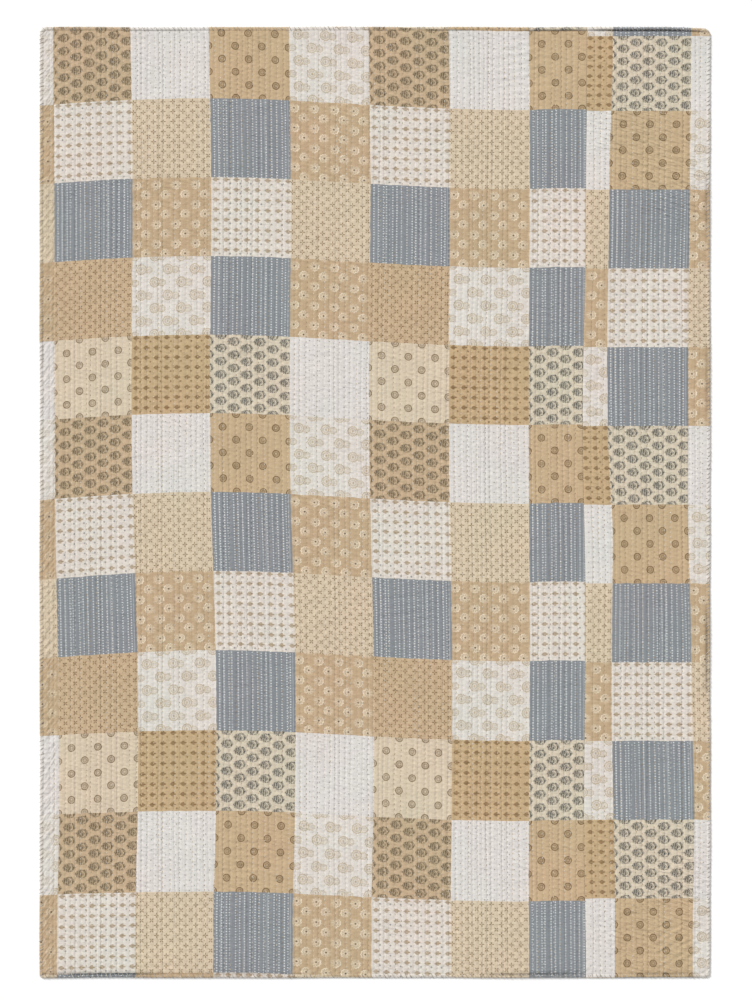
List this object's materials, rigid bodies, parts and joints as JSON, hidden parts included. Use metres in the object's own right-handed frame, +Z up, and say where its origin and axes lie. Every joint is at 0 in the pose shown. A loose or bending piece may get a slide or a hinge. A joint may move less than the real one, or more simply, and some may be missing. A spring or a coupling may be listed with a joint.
{
  "type": "kantha quilt",
  "caption": "Rectangular quilted cotton throw of two seamed panels with overcast turned edges, lying flat; covers a bed or sofa.",
  "frame": {"origin": "under the middle of the throw, on the surface it lies on", "axes": "+Y along the throw's length towards its head, +X across its width towards the seamed side panel, +Z up out of its face"},
  "size_m": [1.27, 1.8002, 0.0044],
  "materials": {
    "printed_cotton": "washed matt cotton, block printed in squares, with rows of running stitch",
    "cotton_thread": "soft matt twisted cotton thread"
  },
  "bodies": {
    "root": {"panel_main": "printed_cotton", "panel_side": "printed_cotton"}
  },
  "joints": []
}
